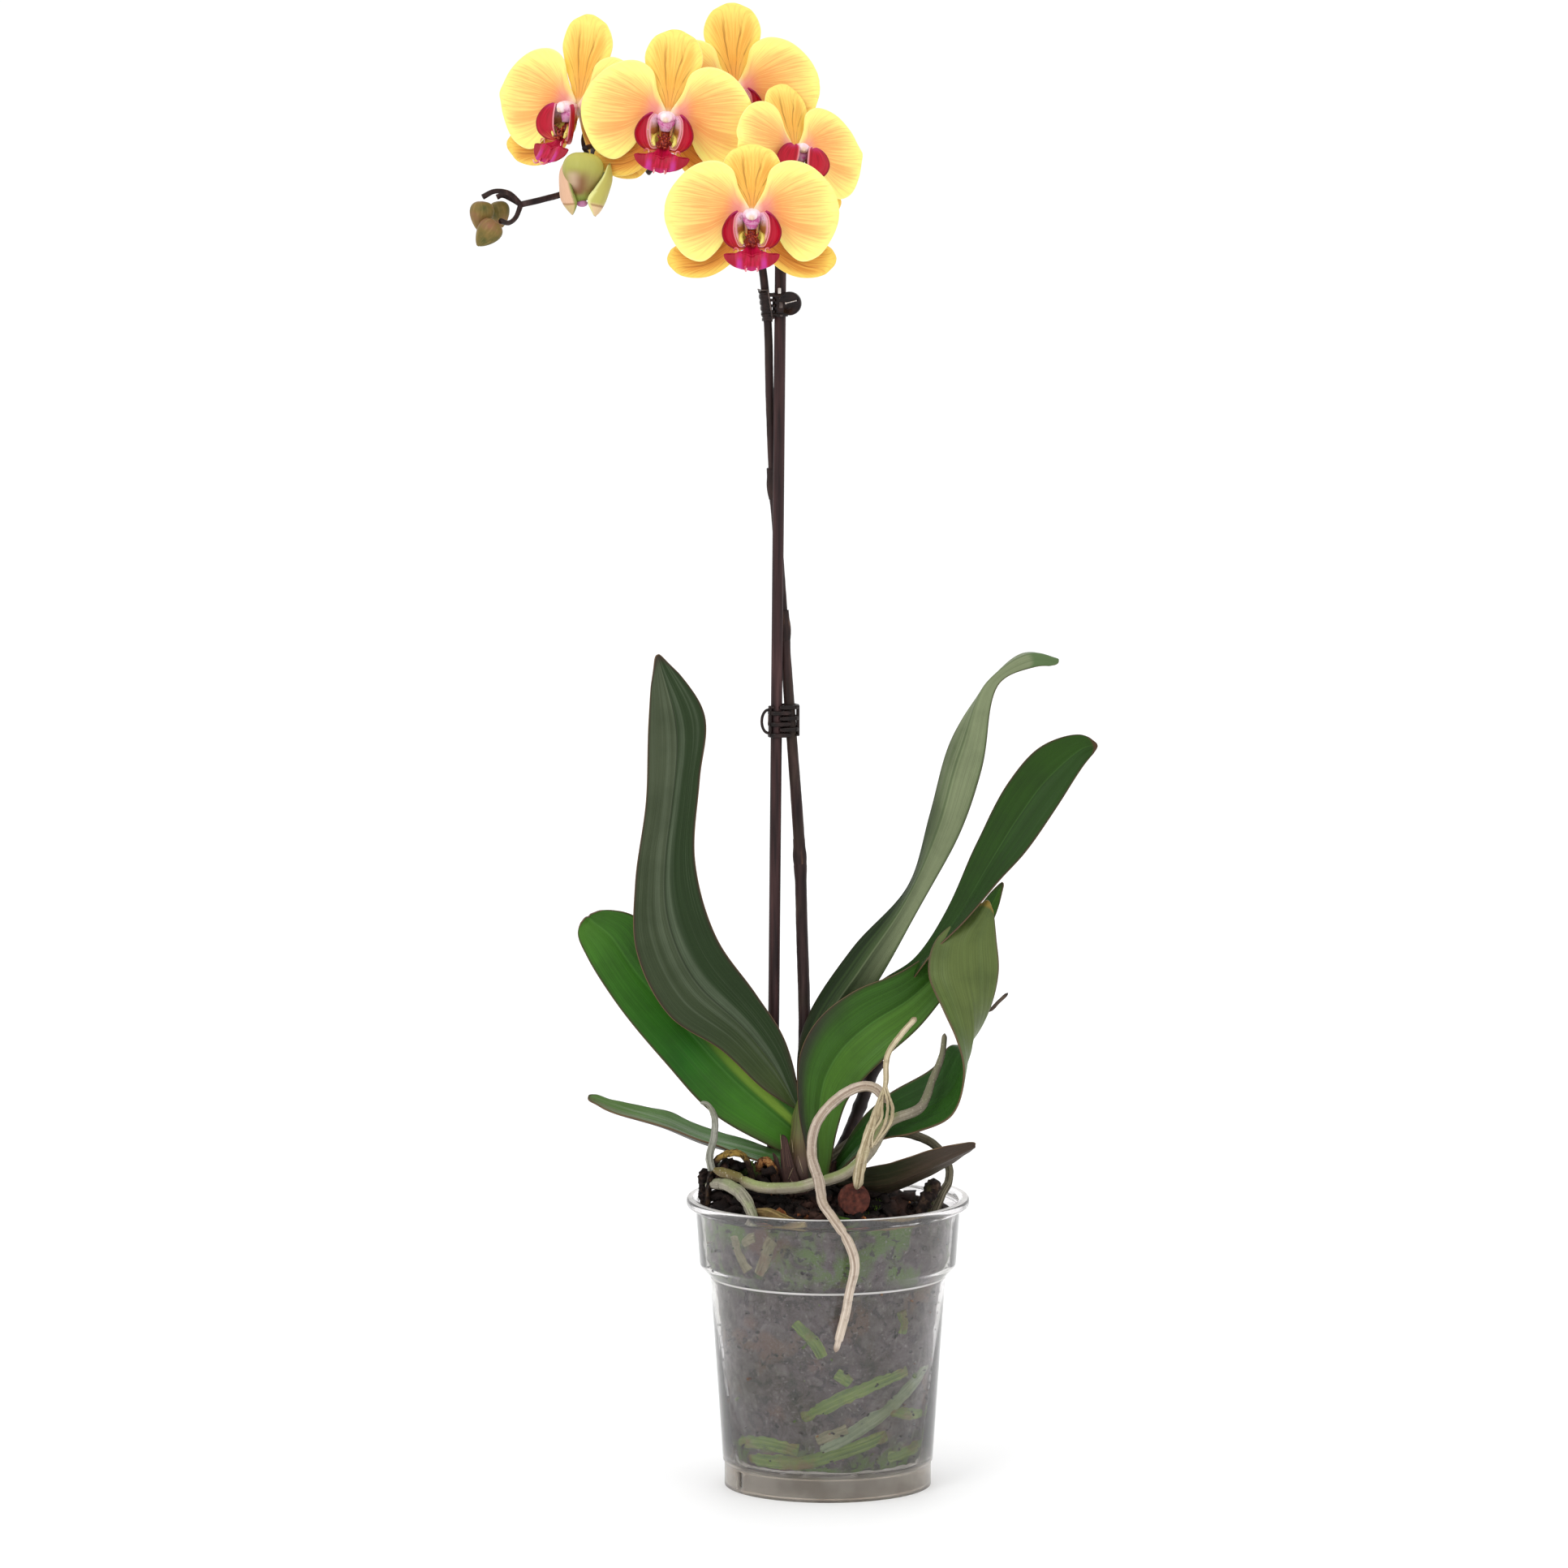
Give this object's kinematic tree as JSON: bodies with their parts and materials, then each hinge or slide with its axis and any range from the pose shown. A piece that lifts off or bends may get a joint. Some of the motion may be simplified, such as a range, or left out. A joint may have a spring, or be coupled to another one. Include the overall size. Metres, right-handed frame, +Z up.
{
  "type": "potted moth orchid",
  "caption": "Moth orchid in flower in a clear plastic pot of bark: strap leaves, aerial roots, and an arching spike of flat blooms and buds clipped to a stake",
  "frame": {"origin": "on the surface the pot stands on, under the middle of the whole plant's footprint", "axes": "+Z up along the pot and the stake; the blooms face -Y and the flower spike arches over towards -X"},
  "size_m": [0.265, 0.1268, 0.628],
  "materials": {
    "clear_plastic": "thin cloudy clear plastic",
    "stake": "satin dark brown",
    "clip": "gloss black brown",
    "sheath": "satin, dry at the edges",
    "spike": "satin dark purple brown",
    "leaf": "satin, waxy",
    "leaf_under": "satin, grey green flushed with purple",
    "tepal": "soft, finely veined",
    "lip": "satin, velvety",
    "column": "satin, waxy",
    "bud": "satin, waxy",
    "root": "matt, papery",
    "root_green": "damp",
    "bark": "rough",
    "bark_light": "rough",
    "clay": "matt"
  },
  "bodies": {
    "root": {"pot": "clear_plastic", "stake": "stake", "crown": "sheath", "flower_spike": "spike", "old_spike": "spike", "leaf_right_front": "leaf", "leaf_left_tall": "leaf", "leaf_right_curled": "leaf_under", "leaf_left_broad": "leaf", "leaf_right_tall": "leaf", "leaf_right_far": "leaf", "leaf_right_low": "leaf_under", "leaf_left_low": "leaf_under", "root_shrivelled": "root", "root_long_front": "root", "root_hanging_front": "root", "root_left_upright": "root", "root_left_rim": "root", "root_right_back": "root", "root_front_sunk": "root", "root_front_right": "root", "root_dry": "spike", "clay_disc": "clay", "bark_arch": "bark", "bark_orange": "bark_light", "bark_black": "bark", "bark_left": "bark", "wall_root_1": "root_green", "wall_root_2": "root_green", "wall_root_3": "root_green", "wall_root_4": "root_green", "wall_root_5": "root_green", "wall_root_6": "root_green", "bark_mix": "bark", "clip_lower": "clip", "clip_upper": "clip", "bud_opening": "bud", "bud_small_1": "bud", "bud_small_2": "bud", "bud_small_3": "bud", "bloom_1_tepals": "tepal", "bloom_1_lip": "lip", "bloom_1_column": "column", "bloom_2_tepals": "tepal", "bloom_2_lip": "lip", "bloom_2_column": "column", "bloom_3_tepals": "tepal", "bloom_3_lip": "lip", "bloom_3_column": "column", "bloom_4_tepals": "tepal", "bloom_4_lip": "lip", "bloom_4_column": "column", "bloom_5_tepals": "tepal", "bloom_5_lip": "lip", "bloom_5_column": "column"}
  },
  "joints": []
}
